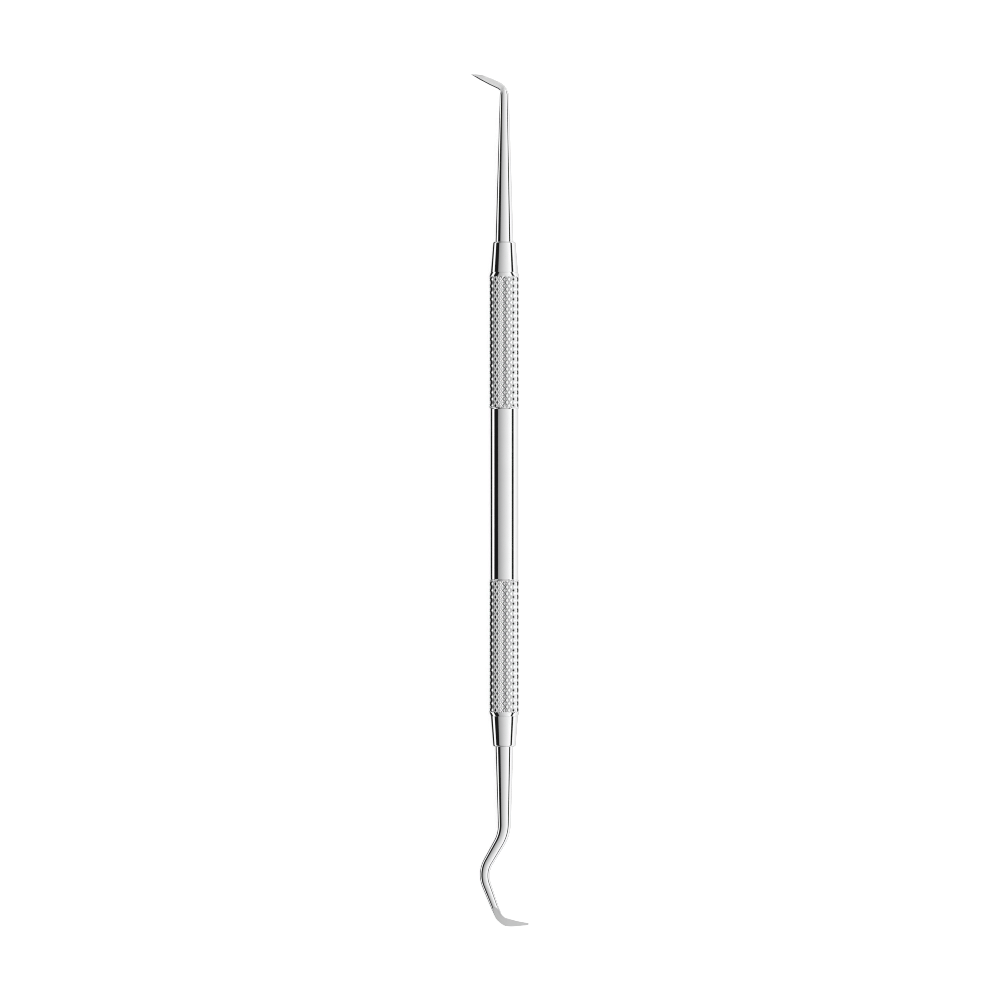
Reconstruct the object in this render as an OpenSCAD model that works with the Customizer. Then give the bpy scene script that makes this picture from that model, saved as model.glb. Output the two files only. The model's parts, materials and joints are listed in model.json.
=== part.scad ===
// Double-ended dental hand instrument with a pick blade at +X and a sickle blade at -X.
// It lies along X, on a table under its handle and its pick's tip, with +Z up. Both blades and
// their shanks share one plane, which leans down towards +Y, where the pick points.
// The origin is on the handle's axis, at the middle of its smooth band.

/* [Handle] */
// Length of the handle tube
handle_l = 88.4; // [84:0.2:96]
// Diameter over the knurled grips
grip_d = 6; // [5.8:0.05:6.6]
// Diameter of the smooth band between the grips
band_d = 5.6; // [5.2:0.05:5.7]
// Length of the smooth band between the grips
band_l = 34; // [24:1:44]
// Bore of the handle tube
bore_d = 4; // [3.8:0.1:4.2]
// Length of the bevel at each end of the tube
end_bevel = 0.7; // [0.4:0.1:1]

/* [Collars] */
// Length of a collar outside the tube
collar_l = 6.1; // [5:0.1:8]
// Diameter of a collar where it meets the tube
collar_base_d = 5.5; // [5:0.05:5.6]
// Diameter of a collar at its nose
collar_nose_d = 4.5; // [4.2:0.05:4.9]
// Radius of the rounded nose
nose_round = 0.35; // [0.2:0.05:0.4]
// Length of the spigot pressed into the tube
spigot_l = 9; // [6:0.5:14]

/* [Shanks] */
// Diameter of a shank where it leaves its collar
shank_d = 3.6; // [3.3:0.05:3.7]
// Diameter of the tang inside the collar
tang_d = 3; // [2.6:0.1:3.1]
// Length of the tang inside the collar
tang_l = 12; // [8:0.5:14]

/* [Pick end] */
// Length of the straight pick shank outside its collar
pick_shank_l = 29.3; // [26:0.1:32]
// Diameter of the pick shank where the blade starts
pick_neck_d = 1.84; // [1.7:0.02:2]
// Angle that the pick blade is bent through
pick_bend = 65; // [50:1:75]
// Radius of the pick's bend
pick_bend_r = 2; // [1.8:0.1:2.6]
// Length of the straight pick blade past the bend
pick_blade_l = 5.85; // [4.5:0.05:7]

/* [Sickle end] */
// Length of the straight sickle shank outside its collar
sickle_shank_l = 15.4; // [13:0.1:18]
// Diameter of the sickle shank where it starts to bend
sickle_neck_d = 2.62; // [2.4:0.02:2.8]
// Angle of the shank's first bend, away from the blade
lean_out = 30; // [20:1:36]
// Radius of the first bend
lean_out_r = 7.6; // [6:0.1:9]
// Length of the straight stretch after the first bend
lean_out_l = 4.3; // [3:0.1:6]
// Angle that the shank leans back over the axis
lean_back = 20.5; // [14:0.5:26]
// Radius of the second bend
lean_back_r = 5.4; // [4.5:0.1:7]
// Length of the straight stretch before the blade's bend
lean_back_l = 6.5; // [5:0.1:8]
// Angle between the blade and the handle's axis
sickle_angle = 85.5; // [75:0.5:92]
// Radius of the blade's bend
sickle_bend_r = 2.1; // [1.9:0.1:2.6]
// Length of the straight sickle blade past its bend
sickle_blade_l = 4.35; // [3.5:0.05:5]

/* [Hidden] */

$fn = 96;
grip_bevel = 0.25;
spigot_bevel = 0.3;
tang_bevel = 0.25;
tube_end_x = handle_l / 2;
nose_x = tube_end_x + collar_l;
pick_neck_x = nose_x + pick_shank_l;
sickle_neck_x = nose_x + sickle_shank_l;

// A blade is a run of rings. It starts a little inside its round shank and is a hair thinner there.
ring_sides = 20;
root_overlap = 0.4;
root_shrink = 0.985;
ring_step = 0.5;

// Distances along the pick's centre line from the neck, for the width and thickness tables.
pick_bend_l = pick_bend_r * pick_bend * PI / 180;
pick_l = pick_bend_l + pick_blade_l;

// The pick's tip, from its centre line towards the inside of the bend, and its half thickness.
pick_tip_in = 0.34;
pick_tip_half_t = 0.1;
// How far the tip stands out from the handle's axis.
pick_reach = pick_bend_r * (1 - cos(pick_bend)) + pick_blade_l * sin(pick_bend)
             + pick_tip_in * cos(pick_bend);
// The lean at which the tip touches the table that the grips lie on.
lean = asin(grip_d / 2 / norm([pick_reach, pick_tip_half_t])) - atan(pick_tip_half_t / pick_reach);

// Half widths on the inside of the bend: a ground shoulder, then an edge running to the tip.
pick_inner = [[0, 0.92], [0.25, 0.72], [1.1, 0.67], [0.5 * pick_l, 0.66], [0.75 * pick_l, 0.55],
              [pick_l, pick_tip_in]];
// Half widths on the outside: the back runs parallel to the edge, then is clipped to the point.
pick_outer = [[0, 0.92], [0.6, 0.76], [1.6, 0.7], [0.48 * pick_l, 0.67], [0.64 * pick_l, 0.6],
              [0.75 * pick_l, 0.53], [0.89 * pick_l, 0.12], [pick_l, -0.26]];
// Half thickness from the neck to the tip.
pick_half_t = [[0, 0.92], [0.8, 0.72], [1.8, 0.6], [0.7 * pick_l, 0.4], [pick_l, pick_tip_half_t]];

// Distances along the sickle's centre line from the neck.
lean_out_end = lean_out_r * lean_out * PI / 180;
turn_start = lean_out_end + lean_out_l;
turn_end = turn_start + lean_back_r * (lean_out + lean_back) * PI / 180;
hook_start = turn_end + lean_back_l;
hook_end = hook_start + sickle_bend_r * (sickle_angle - lean_back) * PI / 180;
sickle_l = hook_end + sickle_blade_l;
ground_start = hook_start - 1.6;
sickle_neck_r = sickle_neck_d / 2;

sickle_inner = [[0, sickle_neck_r], [lean_out_end, 1.17], [turn_start, 1.06], [turn_end, 0.96],
                [ground_start, 0.78], [hook_start, 0.76], [hook_start + 1.1, 0.84], [hook_end, 0.76],
                [hook_end + 1, 0.56], [hook_end + 2.5, 0.31], [sickle_l - 0.2, 0.15], [sickle_l, 0.03]];
sickle_outer = [[0, sickle_neck_r], [lean_out_end, 1.17], [turn_start, 1.06], [turn_end, 0.96],
                [ground_start, 0.78], [hook_start, 0.65], [hook_start + 1.1, 0.58], [hook_end, 0.8],
                [hook_end + 1, 0.8], [hook_end + 2.5, 0.56], [sickle_l - 0.2, 0.28], [sickle_l, 0.06]];
sickle_half_t = [[0, sickle_neck_r], [lean_out_end, 1.17], [turn_start, 1.06], [turn_end, 0.96],
                 [ground_start, 0.78], [hook_start + 1.1, 0.68], [hook_end + 2, 0.4], [sickle_l, 0.1]];

// Steps of a walk along a centre line, each [distance, turn in degrees].
function straight(length) =
    let (n = ceil(length / ring_step)) [for (i = [1:n]) [length / n, 0]];
function arc(radius, angle) =
    let (length = radius * abs(angle) * PI / 180, n = ceil(length / (0.6 * ring_step)))
    [for (i = [1:n]) [length / n, angle / n]];

// Stations along a walk, each [x, y, heading, distance].
function stations(steps, x, y = 0, heading = 0, distance = 0, i = 0) =
    i == len(steps)
    ? [[x, y, heading, distance]]
    : let (middle = heading + steps[i][1] / 2)
      concat([[x, y, heading, distance]],
             stations(steps, x + steps[i][0] * cos(middle), y + steps[i][0] * sin(middle),
                      heading + steps[i][1], distance + steps[i][0], i + 1));

// A ring turns from round, squareness 2, into a flat-sided blade section.
function bend_power(value, power) = sign(value) * pow(abs(value), power);
function ring(station, inner, outer, half_t, squareness, wedge) =
    [for (k = [0:ring_sides - 1])
        let (turn = 360 * (k + 0.5) / ring_sides,
             across = bend_power(cos(turn), 2 / squareness),
             up = bend_power(sin(turn), 2 / squareness),
             offset = across > 0 ? inner * across : outer * across)
        [station[0] - offset * sin(station[2]),
         station[1] + offset * cos(station[2]),
         half_t * up * (1 + wedge * across)]];

// A closed solid through a list of rings.
module loft(rings) {
    last = len(rings) - 1;
    points = [for (r = rings) each r];
    start_cap = [[for (k = [0:ring_sides - 1]) k]];
    end_cap = [[for (k = [ring_sides - 1:-1:0]) last * ring_sides + k]];
    walls = [for (i = [0:last - 1], k = [0:ring_sides - 1])
        let (a = i * ring_sides + k,
             b = i * ring_sides + (k + 1) % ring_sides)
        each [[b, a, a + ring_sides], [b, a + ring_sides, b + ring_sides]]];
    polyhedron(points = points, faces = concat(start_cap, end_cap, walls));
}

// Leans a blade that was drawn flat in the XY plane.
module leaning() {
    rotate([-lean, 0, 0])
        children();
}

// Turns a profile of [radius, distance] points about the X axis.
module turned(profile) {
    rotate([0, 90, 0])
        rotate_extrude()
            polygon(profile);
}

// Round steel from the tang, through the shoulder at the collar's nose, to the neck.
module tang_and_shank(neck_x, neck_d) {
    turned([
        [0, nose_x - tang_l],
        [tang_d / 2 - tang_bevel, nose_x - tang_l],
        [tang_d / 2, nose_x - tang_l + tang_bevel],
        [tang_d / 2, nose_x],
        [shank_d / 2, nose_x],
        [neck_d / 2, neck_x],
        [0, neck_x]
    ]);
}

// A tapered collar with its spigot in the tube and a bore for the tang.
module collar() {
    round_x = nose_x - nose_round;
    turned(concat(
        [
            [tang_d / 2, tube_end_x - spigot_l],
            [bore_d / 2 - spigot_bevel, tube_end_x - spigot_l],
            [bore_d / 2, tube_end_x - spigot_l + spigot_bevel],
            [bore_d / 2, tube_end_x],
            [collar_base_d / 2, tube_end_x]
        ],
        [for (turn = [0:15:90])
            [collar_nose_d / 2 - nose_round * (1 - cos(turn)), round_x + nose_round * sin(turn)]],
        [[tang_d / 2, nose_x]]
    ));
}

// Handle tube: two grips at the knurl's outer diameter, a smooth band and bevelled ends.
module handle_tube() {
    half_profile = [
        [collar_base_d / 2, tube_end_x],
        [grip_d / 2, tube_end_x - end_bevel],
        [grip_d / 2, band_l / 2 + grip_bevel],
        [band_d / 2, band_l / 2]
    ];
    color("silver")
        turned(concat(
            [[bore_d / 2, -tube_end_x], [bore_d / 2, tube_end_x]],
            half_profile,
            [for (i = [len(half_profile) - 1:-1:0]) [half_profile[i][0], -half_profile[i][1]]]
        ));
}

module pick_collar() {
    color("lightgray")
        collar();
}

module sickle_collar() {
    color("lightgray")
        rotate([0, 0, 180])
            collar();
}

// Straight tapered shank with a short pointed blade bent to one side.
module pick_end() {
    path = stations(concat([[root_overlap, 0]], arc(pick_bend_r, pick_bend), straight(pick_blade_l)),
                    pick_neck_x - root_overlap);
    rings = [for (s = path)
        let (along = max(0, s[3] - root_overlap),
             shrink = along > 0 ? 1 : root_shrink,
             ground = min(1, along / 1.2))
        ring(s, shrink * lookup(along, pick_inner), shrink * lookup(along, pick_outer),
             shrink * lookup(along, pick_half_t), 2 + 1.6 * ground, 0.25 * ground)];
    color("gainsboro") {
        tang_and_shank(pick_neck_x, pick_neck_d);
        leaning()
            loft(rings);
    }
}

// Contra-angled shank that leans away and back again, ending in a curved sickle blade.
module sickle_end() {
    bends = concat(
        [[root_overlap, 0]],
        arc(lean_out_r, -lean_out),
        straight(lean_out_l),
        arc(lean_back_r, lean_out + lean_back),
        straight(lean_back_l),
        arc(sickle_bend_r, sickle_angle - lean_back),
        straight(sickle_blade_l)
    );
    path = stations(bends, sickle_neck_x - root_overlap);
    rings = [for (s = path)
        let (along = max(0, s[3] - root_overlap),
             shrink = along > 0 ? 1 : root_shrink,
             ground = max(0, min(1, (along - ground_start) / 1.2)))
        ring(s, shrink * lookup(along, sickle_inner), shrink * lookup(along, sickle_outer),
             shrink * lookup(along, sickle_half_t), 2 + 1.2 * ground, 0.3 * ground)];
    color("darkgray") {
        rotate([0, 0, 180])
            tang_and_shank(sickle_neck_x, sickle_neck_d);
        leaning()
            rotate([0, 0, 180])
                loft(rings);
    }
}

handle_tube();
pick_collar();
sickle_collar();
pick_end();
sickle_end();
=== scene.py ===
"""Looks of a double-ended dental hand instrument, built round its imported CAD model.

The instrument lies along X. Every piece and the studio are drawn with both blades flat in the XY
plane, and LEAN then turns them down towards +Y, so that the pick's tip touches the table. Lengths
are in millimetres, and MM turns them into Blender's metres when a mesh is made.
"""

import json
import math

import bmesh
import bpy
import numpy as np
from mathutils import Matrix, Vector


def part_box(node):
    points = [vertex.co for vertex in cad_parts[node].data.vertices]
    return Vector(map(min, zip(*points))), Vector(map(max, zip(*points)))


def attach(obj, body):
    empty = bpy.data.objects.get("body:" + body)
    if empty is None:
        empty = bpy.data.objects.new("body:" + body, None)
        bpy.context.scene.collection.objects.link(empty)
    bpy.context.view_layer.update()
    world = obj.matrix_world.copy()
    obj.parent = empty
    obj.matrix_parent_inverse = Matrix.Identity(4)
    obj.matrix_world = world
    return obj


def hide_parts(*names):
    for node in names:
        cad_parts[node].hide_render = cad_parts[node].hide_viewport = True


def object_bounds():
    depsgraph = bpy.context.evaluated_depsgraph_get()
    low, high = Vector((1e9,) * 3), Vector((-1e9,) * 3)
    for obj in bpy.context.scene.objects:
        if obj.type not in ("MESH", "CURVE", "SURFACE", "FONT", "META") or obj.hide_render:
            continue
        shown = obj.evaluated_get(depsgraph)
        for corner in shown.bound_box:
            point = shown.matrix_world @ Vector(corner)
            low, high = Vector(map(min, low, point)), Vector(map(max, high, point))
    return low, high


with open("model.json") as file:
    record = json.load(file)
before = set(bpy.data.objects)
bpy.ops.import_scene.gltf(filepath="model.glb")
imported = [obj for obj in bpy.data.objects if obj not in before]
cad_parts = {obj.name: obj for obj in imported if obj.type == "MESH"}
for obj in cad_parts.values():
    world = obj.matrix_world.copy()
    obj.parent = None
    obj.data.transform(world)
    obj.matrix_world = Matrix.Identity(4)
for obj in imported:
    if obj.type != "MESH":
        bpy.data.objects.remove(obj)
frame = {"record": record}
cad_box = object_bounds()

MM = 0.001

# ------------------------------------------------------------------ sizes taken from the frame


def node_box_mm(node):
    """Lowest and highest corner of a CAD node, in millimetres."""
    low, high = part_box(node)
    return Vector(low) / MM, Vector(high) / MM


MOUNTS = {m["name"]: m for m in frame["record"]["mounts"]}
TUBE_END = node_box_mm("handle_tube")[1].x
GRIP_R = MOUNTS["pick_side_grip"]["dims"]["r_mm"]
BAND_R = MOUNTS["smooth_band"]["dims"]["r_mm"]
BAND_HALF = MOUNTS["smooth_band"]["dims"]["length_mm"] / 2
NOSE_X = node_box_mm("pick_collar")[1].x
SPIGOT_X = node_box_mm("pick_collar")[0].x
COLLAR_BASE_R = node_box_mm("pick_collar")[1].z
TANG_X = node_box_mm("pick_end")[0].x
SHANK_R = node_box_mm("pick_end")[1].z
FLOOR_Z = node_box_mm("handle_tube")[0].z

# Hidden fits and both blades' driving sizes, as in the CAD model.
BORE_R = 2.0
TANG_R = 1.5
COLLAR_NOSE_R = 2.25

PICK_NECK_X = NOSE_X + 29.3
PICK_NECK_R = 0.92
PICK_BEND = 65
PICK_BEND_R = 2.0
PICK_BLADE_L = 5.85
PICK_TIP_IN = 0.34
PICK_TIP_HALF_T = 0.1

SICKLE_NECK_X = NOSE_X + 15.4
SICKLE_NECK_R = 1.31
LEAN_OUT, LEAN_OUT_R, LEAN_OUT_L = 30, 7.6, 4.3
LEAN_BACK, LEAN_BACK_R, LEAN_BACK_L = 20.5, 5.4, 6.5
SICKLE_ANGLE, SICKLE_BEND_R, SICKLE_BLADE_L = 85.5, 2.1, 4.35

# The lean at which the pick's tip touches the table that the grips lie on.
PICK_REACH = (
    PICK_BEND_R * (1 - math.cos(math.radians(PICK_BEND)))
    + PICK_BLADE_L * math.sin(math.radians(PICK_BEND))
    + PICK_TIP_IN * math.cos(math.radians(PICK_BEND))
)
LEAN = math.asin(GRIP_R / math.hypot(PICK_REACH, PICK_TIP_HALF_T)) - math.atan(
    PICK_TIP_HALF_T / PICK_REACH
)
TURN_DOWN = Matrix.Rotation(-LEAN, 3, "X")

# ------------------------------------------------------------------ mesh helpers


def add_mesh(name, points_mm, faces, sharp_angle=None, attributes=None):
    """A mesh object from points in millimetres, shaded smooth except across sharp edges."""
    mesh = bpy.data.meshes.new(name)
    leaning = np.asarray(points_mm, dtype=float) @ np.array(TURN_DOWN).T
    mesh.from_pydata((leaning * MM).tolist(), [], faces)
    for key, values in (attributes or {}).items():
        layer = mesh.attributes.new(key, "FLOAT", "POINT")
        layer.data.foreach_set("value", np.asarray(values, dtype=np.float32))
    mesh.validate()
    mesh.shade_smooth()
    if sharp_angle is not None:
        mesh.set_sharp_from_angle(angle=math.radians(sharp_angle))
    obj = bpy.data.objects.new(name, mesh)
    bpy.context.scene.collection.objects.link(obj)
    return obj


def smooth_step(value, low, high):
    t = min(1.0, max(0.0, (value - low) / (high - low)))
    return t * t * (3 - 2 * t)


def round_corner(before, corner, after, radius, steps=5):
    """Points of an arc that rounds one corner of an outline of (x, r) points."""
    before, corner, after = (Vector(p) for p in (before, corner, after))
    to_before = (before - corner).normalized()
    to_after = (after - corner).normalized()
    half = to_before.angle(to_after) / 2
    reach = radius / math.tan(half)
    centre = corner + (to_before + to_after).normalized() * (radius / math.sin(half))
    start = corner + to_before * reach - centre
    end = corner + to_after * reach - centre
    turn = start.angle_signed(end)
    return [tuple(centre + Matrix.Rotation(-turn * i / steps, 2) @ start) for i in range(steps + 1)]


def rounded(profile, radii):
    """A closed outline of (x, r) points with some of its corners rounded, by index."""
    points = []
    for i, corner in enumerate(profile):
        if i in radii:
            after = profile[(i + 1) % len(profile)]
            points += round_corner(profile[i - 1], corner, after, radii[i])
        else:
            points.append(corner)
    return points


def subdivided(outline, longest=0.3, beside=0.02):
    """The outline with points close beside each corner of a long side, and more along it."""
    points = []
    for i, start in enumerate(outline):
        start, end = Vector(start), Vector(outline[(i + 1) % len(outline)])
        length = (end - start).length
        shares = [0.0]
        if length > longest:
            count = math.ceil(length / longest)
            shares.append(beside / length)
            shares += [k / count for k in range(1, count)]
            shares.append(1 - beside / length)
        points += [tuple(start.lerp(end, share)) for share in shares]
    return points


def lathe(name, outline, sides=256, sharp_angle=30, mirrored=False):
    """Turns a closed outline of (x, r) points about the X axis into a ring-shaped solid."""
    outline = np.array(subdivided(outline), dtype=float)
    if mirrored:
        outline[:, 0] *= -1
        outline = outline[::-1]
    turn = np.arange(sides) * 2 * math.pi / sides
    count = len(outline)
    x = np.repeat(outline[:, 0], sides)
    r = np.repeat(outline[:, 1], sides)
    angle = np.tile(turn, count)
    points = np.column_stack([x, -r * np.sin(angle), r * np.cos(angle)])
    faces = []
    for i in range(count):
        a, b = i * sides, (i + 1) % count * sides
        for k in range(sides):
            n = (k + 1) % sides
            faces.append((a + k, b + k, b + n, a + n))
    return add_mesh(name, points, faces, sharp_angle)


# ------------------------------------------------------------------ knurled handle

# The knurl is two families of V grooves, 20 starts each, that cross into lozenges. The mesh has
# CELLS lines a lozenge each way, so that its edges run along the grooves' edges and centres.
STARTS = 20
LOZENGE_L = 1.3243
CELLS = 8
GROOVE_CELLS = 2
GROOVE_HALF = GROOVE_CELLS / CELLS
GROOVE_DEPTH = 0.145
# How much lower the middle of a lozenge is than its corners, where rolling raised the metal.
DISH = 0.008
# Where the grooves cross, as a share of a lozenge's length.
PICK_GRIP_PHASE = 0.2
SICKLE_GRIP_PHASE = -0.03

# The knurling runs out over RUN_OUT each way from where the rounded end bevels start.
END_BEVEL_L = 0.78
END_BEVEL_POWER = 1.4
BEVEL_STEP = 0.06
KNURL_END = TUBE_END - END_BEVEL_L
RUN_OUT = 0.22
INNER_BEVEL_L = 0.25
# Rings of the smooth band between its ends, from the bevels inwards.
BAND_EDGE_W = 0.05
BAND_RING_X = 6.0


def groove(cycle):
    """Share of the full depth of one family of grooves, and the distance from a groove's centre."""
    away = np.abs(cycle - np.round(cycle))
    return np.clip(1 - away / GROOVE_HALF, 0, 1), away


def knurl_radius(x, turn, phase):
    """Radius of the knurled surface at distances x along the handle and turns about it."""
    steep = STARTS * turn / math.tau
    first, away_1 = groove(steep + x / LOZENGE_L + phase)
    second, away_2 = groove(steep - x / LOZENGE_L - phase)
    depth = GROOVE_DEPTH * np.maximum(first, second)
    corner = 2 * ((1 - 2 * away_1) ** 2 + (1 - 2 * away_2) ** 2)
    return GRIP_R - depth - DISH * np.clip(1 - corner, 0, 1)


def grip_rows(low, high, phase):
    """Rings between low and high x that are on the lattice, and their numbers."""
    first = math.ceil((low / LOZENGE_L + phase) * CELLS + 0.3)
    last = math.floor((high / LOZENGE_L + phase) * CELLS - 0.3)
    numbers = range(first, last + 1)
    return [(LOZENGE_L * (n / CELLS - phase), n) for n in numbers]


def blank_radius(far):
    """Radius of the turned handle before knurling, at a distance from its middle."""
    if far <= BAND_HALF:
        return BAND_R
    if far < KNURL_END:
        return min(GRIP_R, BAND_R + (far - BAND_HALF) * (GRIP_R - BAND_R) / INNER_BEVEL_L)
    share = (far - KNURL_END) / END_BEVEL_L
    return GRIP_R - (GRIP_R - COLLAR_BASE_R) * share**END_BEVEL_POWER


def handle_rows():
    """Rings of the handle's outside from the sickle end to the pick end, with lattice numbers."""
    inner = BAND_HALF + INNER_BEVEL_L / 2
    bevel = [KNURL_END + BEVEL_STEP * i for i in range(round(END_BEVEL_L / BEVEL_STEP))]
    band = [inner, BAND_HALF, BAND_HALF - BAND_EDGE_W, BAND_RING_X]
    rows = [(-x, None) for x in [TUBE_END, *reversed(bevel)]]
    rows += grip_rows(-KNURL_END, -inner, SICKLE_GRIP_PHASE)
    rows += [(-x, None) for x in band] + [(x, None) for x in reversed(band)]
    rows += grip_rows(inner, KNURL_END, PICK_GRIP_PHASE)
    return rows + [(x, None) for x in [*bevel, TUBE_END]]


def make_handle():
    sides = STARTS * CELLS
    turn = np.arange(sides) * math.tau / sides
    rows = handle_rows()
    radius, cavity = [], []
    for x, _ in rows:
        far = abs(x)
        blank = blank_radius(far)
        ring = np.full(sides, blank)
        if far > BAND_HALF:
            phase = PICK_GRIP_PHASE if x > 0 else SICKLE_GRIP_PHASE
            ran_in = smooth_step(far, BAND_HALF + INNER_BEVEL_L / 2, BAND_HALF + 2 * INNER_BEVEL_L)
            ran_out = smooth_step(far, KNURL_END - RUN_OUT, KNURL_END + RUN_OUT)
            cut = (GRIP_R - knurl_radius(x, turn, phase)) * ran_in * (1 - ran_out)
            ring = np.minimum(GRIP_R - cut, blank)
        radius.append(ring)
        # How deep each point lies in a groove; the handle's material paints shade into the grooves
        # by it.
        cavity.append((blank - ring) / GROOVE_DEPTH)
    # The bore closes the tube.
    rows += [(TUBE_END, None), (-TUBE_END, None)]
    radius += [np.full(sides, BORE_R)] * 2
    cavity += [np.zeros(sides)] * 2

    along = np.repeat([x for x, _ in rows], sides)
    around = np.tile(turn, len(rows))
    radius = np.concatenate(radius)
    points = np.column_stack([along, -radius * np.sin(around), radius * np.cos(around)])
    faces = []
    creases = {0, GROOVE_CELLS, CELLS - GROOVE_CELLS}
    for i in range(len(rows)):
        below, above = i * sides, (i + 1) % len(rows) * sides
        number = rows[i][1] if i + 1 < len(rows) and rows[i + 1][1] is not None else None
        for k in range(sides):
            n = (k + 1) % sides
            a, b, c, d = below + k, above + k, above + n, below + n
            if number is None:
                faces.append((a, b, c, d))
            elif (k + 1 + number) % CELLS in creases:
                # Each cell of the lattice is split along the groove that crosses it.
                faces += [(a, b, d), (b, c, d)]
            else:
                faces += [(a, b, c), (a, c, d)]
    return add_mesh("handle", points, faces, 24, {"cavity": np.concatenate(cavity)})


SPIGOT_CHAMFER = 0.3
NOSE_SEAT_L = 0.18
COLLAR_BASE_FILLET, COLLAR_NOSE_FILLET = 0.06, 0.34


def make_collar(name, mirrored):
    """Tapered collar with a spigot in the tube, a bore for the tang and a rounded nose."""
    outline = [
        (SPIGOT_X, TANG_R),
        (SPIGOT_X, BORE_R - SPIGOT_CHAMFER),
        (SPIGOT_X + SPIGOT_CHAMFER, BORE_R),
        (TUBE_END, BORE_R),
        (TUBE_END, COLLAR_BASE_R),
        (NOSE_X, COLLAR_NOSE_R),
        (NOSE_X, SHANK_R + 0.06),
        (NOSE_X - NOSE_SEAT_L, SHANK_R + 0.02),
        (NOSE_X - NOSE_SEAT_L, TANG_R),
    ]
    outline = rounded(outline, {4: COLLAR_BASE_FILLET, 5: COLLAR_NOSE_FILLET})
    return lathe(name, outline, mirrored=mirrored)


# ------------------------------------------------------------------ working ends


def lookup(distance, table):
    """Values at distances in a table of (distance, value) pairs, straight between them."""
    return np.interp(distance, [t[0] for t in table], [t[1] for t in table])


def walk(moves, start_x, step):
    """Stations along straights and arcs: (x, y, heading, distance from the start)."""
    x, y, heading, distance = start_x, 0.0, 0.0, 0.0
    stations = [(x, y, heading, distance)]
    for length, turn in moves:
        count = max(2, math.ceil(length / step))
        for _ in range(count):
            middle = heading + turn / count / 2
            x += length / count * math.cos(middle)
            y += length / count * math.sin(middle)
            heading += turn / count
            distance += length / count
            stations.append((x, y, heading, distance))
    return stations


def arc(radius, degrees):
    """One move of a walk round an arc: its length and its turn in radians."""
    turn = math.radians(degrees)
    return (radius * abs(turn), turn)


# Points round a section of a working end, and their angles.
RING = 128
RING_ANGLE = (np.arange(RING) + 0.5) * math.tau / RING


def spread(inner, outer, across):
    """Offsets from the centre line of points that are -1 to 1 across a section."""
    return (inner - outer) / 2 + (inner + outer) / 2 * across


# A flat this far out cuts nothing off a section, which stays round.
NO_FLAT = 9.0


def sickle_ring(inner, outer, half_t, flat, squareness):
    """A section with two flats: across and up coordinates, and where it is ground."""
    power = 2 / squareness
    across = np.sign(np.cos(RING_ANGLE)) * np.abs(np.cos(RING_ANGLE)) ** power
    height = half_t * np.sign(np.sin(RING_ANGLE)) * np.abs(np.sin(RING_ANGLE)) ** power
    cut = np.abs(height) > flat
    height = np.where(cut, np.sign(height) * flat, height)
    return spread(inner, outer, across), height, cut.astype(float)


# Widths across the pick blade: its bevelled inner edge, the land beside it and the rounded back.
EDGE_W, LAND_W, BACK_W = 0.22, 0.2, 0.32
# How far the inner edge lies below the face and the land above it, and the rounding of the edge.
EDGE_DROP, LAND_RISE = 0.15, 0.04
CORNER_W = 0.03
# The blade's inner edge keeps at least this share of the face's height.
EDGE_SHARE = 0.3


def pick_ring(inner, outer, radius, face, ground):
    """A section that turns from round, where ground is 0, into a blade with a raised inner land."""
    offset = spread(inner, outer, np.cos(RING_ANGLE))
    scale = min(1.0, (inner + outer) / (EDGE_W + LAND_W + BACK_W))
    from_inner = (inner - offset) / scale
    from_outer = (offset + outer) / scale
    corner = np.sqrt(1 - (1 - np.clip(from_inner / CORNER_W, 0, 1)) ** 2)
    back = np.sqrt(1 - (1 - np.clip(from_outer / BACK_W, 0, 1)) ** 2)
    edge = np.clip(1 - from_inner / EDGE_W, 0, 1)
    land = np.clip((EDGE_W + LAND_W - from_inner) / LAND_W, 0, 1)
    rise = scale * (LAND_RISE * land - (EDGE_DROP + LAND_RISE) * edge)
    blade = np.maximum(EDGE_SHARE * face, face + rise) * corner * back * np.sign(np.sin(RING_ANGLE))
    height = (1 - ground) * radius * np.sin(RING_ANGLE) + ground * blade
    on_face = from_inner > EDGE_W + LAND_W
    return offset, height, on_face * ground


def sweep(name, stations, sections, mirrored=False):
    """A closed solid through one section per station, with a flat cap at each end."""
    points, ground, along = [], [], []
    for (x, y, heading, distance), (offset, height, cut) in zip(stations, sections):
        px = x - offset * math.sin(heading)
        py = y + offset * math.cos(heading)
        points.append(np.column_stack([px, py, height]))
        ground.append(cut)
        along.append(np.full(RING, distance))
    points = np.vstack(points)
    if mirrored:
        points[:, :2] *= -1
    count = len(stations)
    faces = []
    for i in range(count - 1):
        a, b = i * RING, (i + 1) * RING
        for k in range(RING):
            n = (k + 1) % RING
            faces.append((a + n, a + k, b + k, b + n))
    faces.append(tuple(range(RING)))
    faces.append(tuple((count - 1) * RING + k for k in range(RING - 1, -1, -1)))
    attributes = {"ground": np.concatenate(ground), "along": np.concatenate(along)}
    return add_mesh(name, points, faces, 28, attributes)


TANG_TIP_R = 0.8
TANG_CHAMFER = 0.25
SHOULDER_IN, SHOULDER_BEVEL = 0.16, 0.04
SHANK_RINGS = 24


def round_rings(neck_x, neck_r):
    """Stations and round sections from the tang, past its shoulder, to the shank's neck."""
    shoulder = NOSE_X - SHOULDER_IN
    profile = [
        (TANG_X, TANG_TIP_R),
        (TANG_X, TANG_R - TANG_CHAMFER),
        (TANG_X + TANG_CHAMFER, TANG_R),
        (shoulder, TANG_R),
        (shoulder, SHANK_R - SHOULDER_BEVEL),
        (shoulder + SHOULDER_BEVEL, SHANK_R),
        (NOSE_X, SHANK_R),
    ]
    for i in range(1, SHANK_RINGS):
        t = i / SHANK_RINGS
        profile.append((NOSE_X + t * (neck_x - NOSE_X), SHANK_R + t * (neck_r - SHANK_R)))
    stations = [(x, 0.0, 0.0, x - neck_x) for x, _ in profile]
    sections = [sickle_ring(r, r, r, NO_FLAT, 2.0) for _, r in profile]
    return stations, sections


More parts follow.
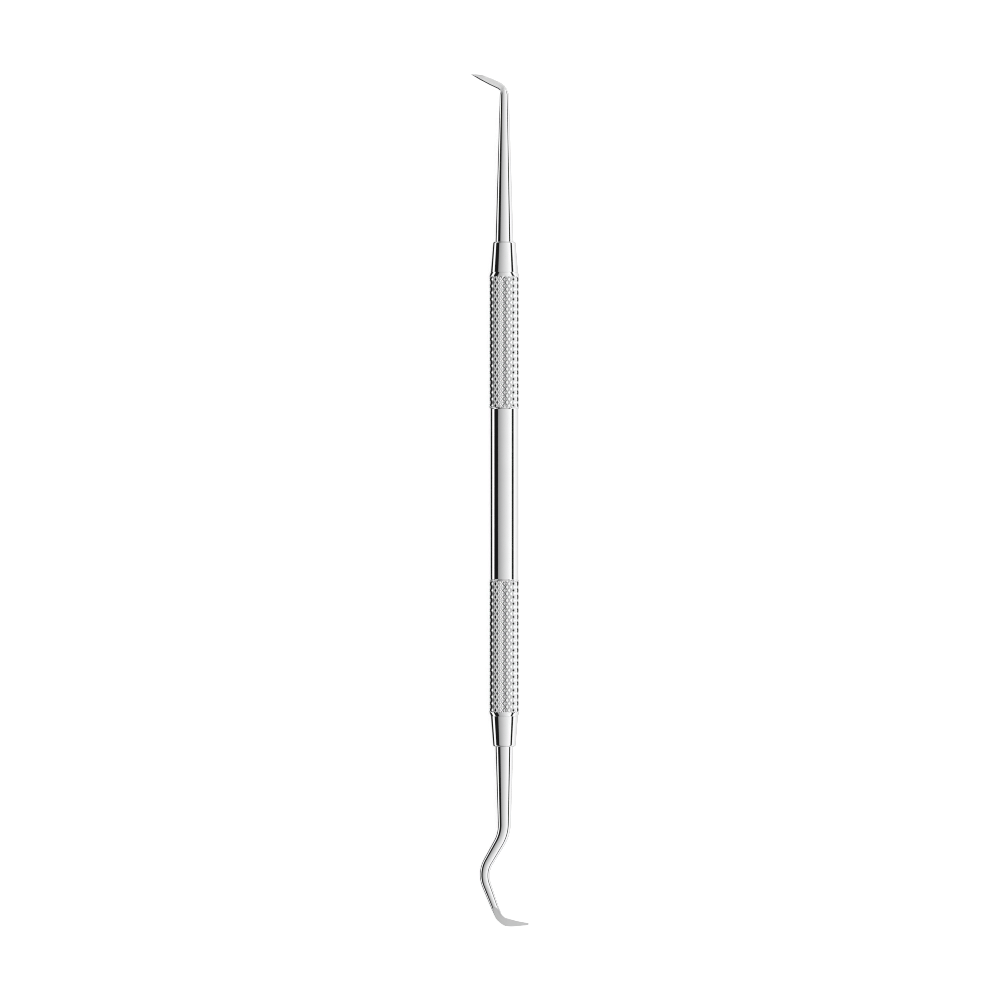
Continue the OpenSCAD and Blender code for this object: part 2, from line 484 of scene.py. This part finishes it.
# Distance between the sections along each blade.
PICK_STEP, SICKLE_STEP = 0.06, 0.09
# The pick's round neck turns into the ground blade over this distance.
PICK_GROUND_L = 1.6


def make_pick_end():
    """Shank and bent pick blade. Its tables are half widths and half thickness by distance."""
    bend = arc(PICK_BEND_R, PICK_BEND)
    length = bend[0] + PICK_BLADE_L
    inner = [(0, 0.92), (0.25, 0.87), (0.55, 0.77), (0.9, 0.7), (1.3, 0.67), (0.5 * length, 0.66),
             (0.75 * length, 0.55), (length, 0.34)]
    outer = [(0, 0.92), (0.6, 0.76), (1.6, 0.7), (0.48 * length, 0.67), (0.64 * length, 0.6),
             (0.75 * length, 0.53), (0.89 * length, 0.12), (length, -0.26)]
    face = [(0, 0.92), (0.8, 0.72), (1.6, 0.56), (2.2, 0.5), (0.7 * length, 0.35), (length, 0.08)]

    stations, sections = round_rings(PICK_NECK_X, PICK_NECK_R)
    for x, y, heading, s in walk([bend, (PICK_BLADE_L, 0)], PICK_NECK_X, PICK_STEP):
        ground = smooth_step(s, 0.0, PICK_GROUND_L)
        stations.append((x, y, heading, s))
        sections.append(
            pick_ring(lookup(s, inner), lookup(s, outer), PICK_NECK_R, lookup(s, face), ground)
        )
    return sweep("pick_end_blade", stations, sections)


# How much sooner than on the centre line the sickle's flats start on its outer side.
FLAT_SLANT = 0.9


def make_sickle_end():
    """Contra-angled shank and sickle blade. Its tables are half widths and half thicknesses."""
    out = arc(LEAN_OUT_R, -LEAN_OUT)
    back = arc(LEAN_BACK_R, LEAN_OUT + LEAN_BACK)
    hook = arc(SICKLE_BEND_R, SICKLE_ANGLE - LEAN_BACK)
    turn_start = out[0] + LEAN_OUT_L
    turn_end = turn_start + back[0]
    hook_start = turn_end + LEAN_BACK_L
    hook_end = hook_start + hook[0]
    length = hook_end + SICKLE_BLADE_L
    ground_start = hook_start - 1.6

    shank = [(0, SICKLE_NECK_R), (out[0], 1.17), (turn_start, 1.06), (turn_end, 0.96),
             (ground_start, 0.78)]
    inner = shank + [(hook_start, 0.76), (hook_start + 1.1, 0.84), (hook_end, 0.76),
                     (hook_end + 1, 0.56), (hook_end + 2.5, 0.31), (length - 0.2, 0.15),
                     (length, 0.03)]
    outer = shank + [(hook_start, 0.65), (hook_start + 1.1, 0.58), (hook_end, 0.8),
                     (hook_end + 1, 0.8), (hook_end + 2.5, 0.56), (length - 0.2, 0.28),
                     (length, 0.06)]
    half_t = shank + [(hook_start + 1.1, 0.74), (hook_end + 2, 0.46), (length, 0.12)]
    flat = [(0, NO_FLAT), (ground_start - 0.15, 0.95), (ground_start, 0.71), (hook_start, 0.6),
            (hook_end, 0.48), (hook_end + 2, 0.3), (length, 0.07)]

    stations, sections = round_rings(SICKLE_NECK_X, SICKLE_NECK_R)
    moves = [out, (LEAN_OUT_L, 0), back, (LEAN_BACK_L, 0), hook, (SICKLE_BLADE_L, 0)]
    for x, y, heading, s in walk(moves, SICKLE_NECK_X, SICKLE_STEP):
        ground = smooth_step(s, ground_start - 0.3, ground_start + 1.2)
        ground_s = s - FLAT_SLANT * (1 - smooth_step(s, hook_start, hook_end)) * np.cos(RING_ANGLE)
        stations.append((x, y, heading, s))
        sections.append(
            sickle_ring(
                lookup(s, inner),
                lookup(s, outer),
                lookup(s, half_t),
                lookup(ground_s, flat),
                2 + 2 * ground,
            )
        )
    return sweep("sickle_end_blade", stations, sections, mirrored=True)


# ------------------------------------------------------------------ materials


def new_material(name):
    mat = bpy.data.materials.new(name)
    mat.use_nodes = True
    nodes = mat.node_tree.nodes
    return mat, nodes, mat.node_tree.links, nodes["Principled BSDF"]


def ramp(nodes, stops):
    """A colour ramp from (position, grey) or (position, colour) stops."""
    node = nodes.new("ShaderNodeValToRGB")
    elements = node.color_ramp.elements
    while len(elements) > 1:
        elements.remove(elements[-1])
    for i, (position, value) in enumerate(stops):
        colour = (value, value, value) if isinstance(value, (int, float)) else value
        element = elements[0] if i == 0 else elements.new(position)
        element.position = position
        element.color = (*colour, 1)
    return node


def noise(nodes, scale, detail):
    node = nodes.new("ShaderNodeTexNoise")
    node.inputs["Scale"].default_value = scale
    node.inputs["Detail"].default_value = detail
    return node


def darker(tint, share):
    return tuple(share * channel for channel in tint)


def polished_steel(name, tint, grooved=False):
    """Mirror-polished stainless steel with faint lathe lines and smears, and painted shade in the
    knurl's grooves when grooved.
    """
    mat, nodes, links, shader = new_material(name)
    coords = nodes.new("ShaderNodeTexCoord")

    smears = noise(nodes, 260, 4)
    links.new(coords.outputs["Object"], smears.inputs["Vector"])
    rough = ramp(nodes, [(0.3, 0.045), (0.75, 0.085)])
    links.new(smears.outputs["Fac"], rough.inputs["Fac"])

    stretch = nodes.new("ShaderNodeMapping")
    stretch.inputs["Scale"].default_value = (9000, 120, 120)
    links.new(coords.outputs["Object"], stretch.inputs["Vector"])
    lines = noise(nodes, 1, 3)
    links.new(stretch.outputs["Vector"], lines.inputs["Vector"])
    bump = nodes.new("ShaderNodeBump")
    bump.inputs["Strength"].default_value = 0.02
    bump.inputs["Distance"].default_value = 0.00002
    links.new(lines.outputs["Fac"], bump.inputs["Height"])
    links.new(bump.outputs["Normal"], shader.inputs["Normal"])

    shader.inputs["Metallic"].default_value = 1
    tone = ramp(nodes, [(0.2, darker(tint, 0.97)), (0.8, tint)])
    links.new(smears.outputs["Fac"], tone.inputs["Fac"])
    colour = tone.outputs["Color"]
    if grooved:
        # Painted shade: the floors of the knurl's grooves are painted a little darker than its
        # tops, and they are also a little duller.
        cavity = nodes.new("ShaderNodeAttribute")
        cavity.attribute_name = "cavity"
        darken = nodes.new("ShaderNodeMix")
        darken.data_type = "RGBA"
        darken.blend_type = "MULTIPLY"
        darken.inputs[0].default_value = 1
        depth = ramp(nodes, [(0.35, 1.0), (1.0, 0.9)])
        links.new(cavity.outputs["Fac"], depth.inputs["Fac"])
        links.new(colour, darken.inputs[6])
        links.new(depth.outputs["Color"], darken.inputs[7])
        colour = darken.outputs[2]
        duller = nodes.new("ShaderNodeMath")
        duller.operation = "MULTIPLY_ADD"
        duller.inputs[1].default_value = 0.03
        links.new(cavity.outputs["Fac"], duller.inputs[0])
        links.new(rough.outputs["Color"], duller.inputs[2])
        links.new(duller.outputs["Value"], shader.inputs["Roughness"])
    else:
        links.new(rough.outputs["Color"], shader.inputs["Roughness"])
    links.new(colour, shader.inputs["Base Color"])
    return mat


def ground_blade_steel(name, tint, ground_tint):
    """Polished shank steel that turns into finely ground, matt steel where a blade is flat."""
    mat, nodes, links, shader = new_material(name)
    coords = nodes.new("ShaderNodeTexCoord")
    ground = nodes.new("ShaderNodeAttribute")
    ground.attribute_name = "ground"
    along = nodes.new("ShaderNodeAttribute")
    along.attribute_name = "along"

    # Grinding lines run straight across a blade, so they only vary along it.
    along_only = nodes.new("ShaderNodeCombineXYZ")
    links.new(along.outputs["Fac"], along_only.inputs["X"])
    lines = noise(nodes, 9, 6)
    lines.inputs["Roughness"].default_value = 0.7
    links.new(along_only.outputs["Vector"], lines.inputs["Vector"])

    smears = noise(nodes, 300, 4)
    links.new(coords.outputs["Object"], smears.inputs["Vector"])

    shiny = ramp(nodes, [(0.3, 0.05), (0.75, 0.09)])
    links.new(smears.outputs["Fac"], shiny.inputs["Fac"])
    matt = ramp(nodes, [(0.3, 0.36), (0.7, 0.46)])
    links.new(lines.outputs["Fac"], matt.inputs["Fac"])
    rough = nodes.new("ShaderNodeMix")
    rough.data_type = "RGBA"
    links.new(ground.outputs["Fac"], rough.inputs[0])
    links.new(shiny.outputs["Color"], rough.inputs[6])
    links.new(matt.outputs["Color"], rough.inputs[7])
    links.new(rough.outputs[2], shader.inputs["Roughness"])

    streaked = ramp(nodes, [(0.3, darker(ground_tint, 0.9)), (0.7, ground_tint)])
    links.new(lines.outputs["Fac"], streaked.inputs["Fac"])
    tone = nodes.new("ShaderNodeMix")
    tone.data_type = "RGBA"
    links.new(ground.outputs["Fac"], tone.inputs[0])
    tone.inputs[6].default_value = (*tint, 1)
    links.new(streaked.outputs["Color"], tone.inputs[7])
    links.new(tone.outputs[2], shader.inputs["Base Color"])

    bump = nodes.new("ShaderNodeBump")
    bump.inputs["Distance"].default_value = 0.00003
    links.new(lines.outputs["Fac"], bump.inputs["Height"])
    strength = nodes.new("ShaderNodeMath")
    strength.operation = "MULTIPLY"
    strength.inputs[1].default_value = 0.35
    links.new(ground.outputs["Fac"], strength.inputs[0])
    links.new(strength.outputs["Value"], bump.inputs["Strength"])
    links.new(bump.outputs["Normal"], shader.inputs["Normal"])
    shader.inputs["Metallic"].default_value = 1
    return mat


# ------------------------------------------------------------------ stage, lights and camera

# The object's length as a share of the picture's side, and the Y in the middle of the picture.
LENGTH_IN_VIEW = 0.853
VIEW_MIDDLE_Y = 0.88

# Half sides, radii, heights and distances on the stage, in metres.
TABLE_HALF = 4.0
SOFTBOX_HALF, SOFTBOX_Z = 0.9, 1.2
ROOM_R, STUDIO_R = 3.9, 20.0
CAMERA_DISTANCE = 3.4
SENSOR_WIDTH = 36


def card(name, half, height, material):
    """A level square stage card that the camera doesn't see and that casts no shadow."""
    corners = [(-half, -half), (half, -half), (half, half), (-half, half)]
    mesh = bpy.data.meshes.new(name)
    mesh.from_pydata([(x, y, height) for x, y in corners], [], [(0, 1, 2, 3)])
    mesh.materials.append(material)
    obj = bpy.data.objects.new(name, mesh)
    bpy.context.scene.collection.objects.link(obj)
    obj.visible_camera = False
    obj.visible_shadow = False
    obj.visible_transmission = False
    return obj


def glowing(name, strength):
    """A material that only emits light, with the emission's colour left to the caller."""
    mat = bpy.data.materials.new(name)
    mat.use_nodes = True
    nodes, links = mat.node_tree.nodes, mat.node_tree.links
    nodes.remove(nodes["Principled BSDF"])
    emission = nodes.new("ShaderNodeEmission")
    emission.inputs["Color"].default_value = (1, 1, 1, 1)
    emission.inputs["Strength"].default_value = strength
    links.new(emission.outputs["Emission"], nodes["Material Output"].inputs["Surface"])
    return mat, nodes, links, emission


# The studio that the steel reflects is a few straight cards that lie along the handle. Their edges
# are degrees round the handle from straight up, towards the side that the pick doesn't point to,
# and each edge is softened over the next 5 degrees. Past about 95 degrees each way the cards stand
# for the table: its lit part is bright, and the dark band from -150 to -120 degrees and the grey
# next to straight down are the instrument's shadow and shade on the table, painted in.
# The second of these is painted shade: the grey of the table right beside the instrument, in its
# soft contact shadow.
FLAG, PAINTED_TABLE_SHADE, STRIP_LIGHT = 0.01, 0.6, 1.2
# The overhead softbox and the room past its ends, from the dim side to the bright side.
BOX = (0.4, 1.2)
BOX_PAST_END = (0.3, 0.6)
# The softbox's reach and fade, in degrees of slant along the handle.
BOX_HALF_LENGTH, BOX_END_FADE = 45, 15


def cards_around(overhead):
    """(degrees, brightness) stops round the handle, with this light overhead."""
    dim_side, bright_side = overhead
    # Painted shadow: the dark band here is the instrument's own shadow on the table, painted into
    # the studio.
    painted_own_shadow = [(-155, PAINTED_TABLE_SHADE), (-150, FLAG), (-120, FLAG)]
    strip_light = [(-115, STRIP_LIGHT), (-95, STRIP_LIGHT)]
    near_flag = [(-90, FLAG), (-55, FLAG)]
    softbox = [(-50, dim_side), (60, bright_side)]
    right_flag = [(65, FLAG), (80, FLAG)]
    # The lit table on the right, fading to painted shade right beside the instrument.
    table_to_painted_shade = [(85, STRIP_LIGHT), (180, PAINTED_TABLE_SHADE)]
    return [(-180, PAINTED_TABLE_SHADE)] + painted_own_shadow + strip_light + near_flag + softbox + right_flag + table_to_painted_shade


STUDIO = [
    (-BOX_HALF_LENGTH - BOX_END_FADE, cards_around(BOX_PAST_END)),
    (-BOX_HALF_LENGTH, cards_around(BOX)),
    (BOX_HALF_LENGTH, cards_around(BOX)),
    (BOX_HALF_LENGTH + BOX_END_FADE, cards_around(BOX_PAST_END)),
]
BRIGHTEST = STRIP_LIGHT


def math_node(nodes, links, operation, *inputs):
    node = nodes.new("ShaderNodeMath")
    node.operation = operation
    for socket, value in zip(node.inputs, inputs):
        if isinstance(value, (int, float)):
            socket.default_value = value
        else:
            links.new(value, socket)
    return node.outputs["Value"]


def studio_glow():
    """Light that follows STUDIO, by the direction of each point of a sphere round the object."""
    mat, nodes, links, emission = glowing("studio_glow", BRIGHTEST)
    coords = nodes.new("ShaderNodeTexCoord")
    direction = nodes.new("ShaderNodeVectorMath")
    direction.operation = "NORMALIZE"
    links.new(coords.outputs["Object"], direction.inputs[0])
    split = nodes.new("ShaderNodeSeparateXYZ")
    links.new(direction.outputs["Vector"], split.inputs["Vector"])
    right = math_node(nodes, links, "MULTIPLY", split.outputs["Y"], -1.0)
    round_angle = math_node(nodes, links, "ARCTAN2", right, split.outputs["Z"])
    turn = math_node(nodes, links, "MULTIPLY_ADD", round_angle, 1 / math.tau, 0.5)
    slant = math_node(nodes, links, "ARCSINE", split.outputs["X"])

    colour, previous = None, None
    for degrees, stops in STUDIO:
        row = ramp(nodes, [(around / 360 + 0.5, grey / BRIGHTEST) for around, grey in stops])
        links.new(turn, row.inputs["Fac"])
        if colour is None:
            colour = row.outputs["Color"]
        else:
            share = nodes.new("ShaderNodeMapRange")
            share.inputs["From Min"].default_value = math.radians(previous)
            share.inputs["From Max"].default_value = math.radians(degrees)
            links.new(slant, share.inputs["Value"])
            blend = nodes.new("ShaderNodeMix")
            blend.data_type = "RGBA"
            links.new(share.outputs["Result"], blend.inputs[0])
            links.new(colour, blend.inputs[6])
            links.new(row.outputs["Color"], blend.inputs[7])
            colour = blend.outputs[2]
        previous = degrees
    links.new(colour, emission.inputs["Color"])
    return mat


def sphere(name, radius, material):
    """A stage sphere round the object."""
    mesh = bpy.data.meshes.new(name)
    shape = bmesh.new()
    bmesh.ops.create_uvsphere(shape, u_segments=96, v_segments=48, radius=radius)
    shape.to_mesh(mesh)
    shape.free()
    mesh.materials.append(material)
    obj = bpy.data.objects.new(name, mesh)
    bpy.context.scene.collection.objects.link(obj)
    obj.visible_diffuse = False
    obj.visible_shadow = False
    obj.visible_transmission = False
    return obj


def make_stage():
    """Table, room and softbox, and the studio that only the steel's reflections see."""
    # What the camera sees: a pale table that takes soft shadows, and a pale room.
    table_mat, _, _, shader = new_material("pale_table")
    shader.inputs["Base Color"].default_value = (0.8, 0.8, 0.8, 1)
    shader.inputs["Roughness"].default_value = 0.9
    shader.inputs["Specular IOR Level"].default_value = 0.0
    shader.inputs["Emission Color"].default_value = (1, 1, 1, 1)
    shader.inputs["Emission Strength"].default_value = 0.77
    table = card("table", TABLE_HALF, FLOOR_Z * MM, table_mat)
    table.visible_camera = True
    table.visible_glossy = False
    room = sphere("room", ROOM_R, glowing("pale_room", 1.0)[0])
    room.visible_glossy = False

    # What lights the table: a plain overhead softbox.
    light = card("softbox", SOFTBOX_HALF, SOFTBOX_Z, glowing("softbox_glow", 1.0)[0])
    light.visible_glossy = False

    # What the steel reflects, with the instrument's shadow and shade on the table painted in.
    studio = sphere("studio", STUDIO_R, studio_glow())
    studio.visible_camera = False
    studio.rotation_euler.x = -LEAN

    world = bpy.data.worlds.new("dark_room")
    world.use_nodes = True
    world.node_tree.nodes["Background"].inputs["Color"].default_value = (0.012, 0.012, 0.012, 1)
    bpy.context.scene.world = world


def make_camera():
    """Square to the blades, over the middle of the object, with the pick end at the top."""
    low, high = cad_box
    length = high.x - low.x
    middle = Vector(((low.x + high.x) / 2, VIEW_MIDDLE_Y * MM, 0))
    data = bpy.data.cameras.new("camera")
    data.sensor_width = SENSOR_WIDTH
    data.lens = SENSOR_WIDTH * CAMERA_DISTANCE * LENGTH_IN_VIEW / length
    camera = bpy.data.objects.new("camera", data)
    camera.location = TURN_DOWN @ (middle + Vector((0, 0, CAMERA_DISTANCE)))
    camera.rotation_euler = (TURN_DOWN @ Matrix.Rotation(-math.pi / 2, 3, "Z")).to_euler()
    bpy.context.scene.collection.objects.link(camera)
    bpy.context.scene.camera = camera


# ------------------------------------------------------------------ the object

STEEL = (0.86, 0.86, 0.865)
handle_steel = polished_steel("knurled_handle_steel", STEEL, grooved=True)
collar_steel = polished_steel("collar_steel", STEEL)
# Painted light and shade: both blades' ground faces are one ground steel, painted lighter on the
# pick and darker on the sickle.
pick_steel = ground_blade_steel("pick_blade_steel", STEEL, (0.97, 0.97, 0.97))
sickle_steel = ground_blade_steel("sickle_blade_steel", STEEL, (0.72, 0.72, 0.72))


def finish_piece(obj, node, material):
    obj.data.materials.append(material)
    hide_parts(node)
    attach(obj, "root")


make_camera()
make_stage()
finish_piece(make_handle(), "handle_tube", handle_steel)
finish_piece(make_collar("pick_collar_turned", False), "pick_collar", collar_steel)
finish_piece(
    make_collar("sickle_collar_turned", True), "sickle_collar", collar_steel
)
finish_piece(make_pick_end(), "pick_end", pick_steel)
finish_piece(make_sickle_end(), "sickle_end", sickle_steel)

bpy.context.scene.view_settings.view_transform = "Standard"
# A little crisper than Blender's own 1.5, so that the knurl's fine grooves stay apart.
bpy.context.scene.cycles.filter_width = 1.0
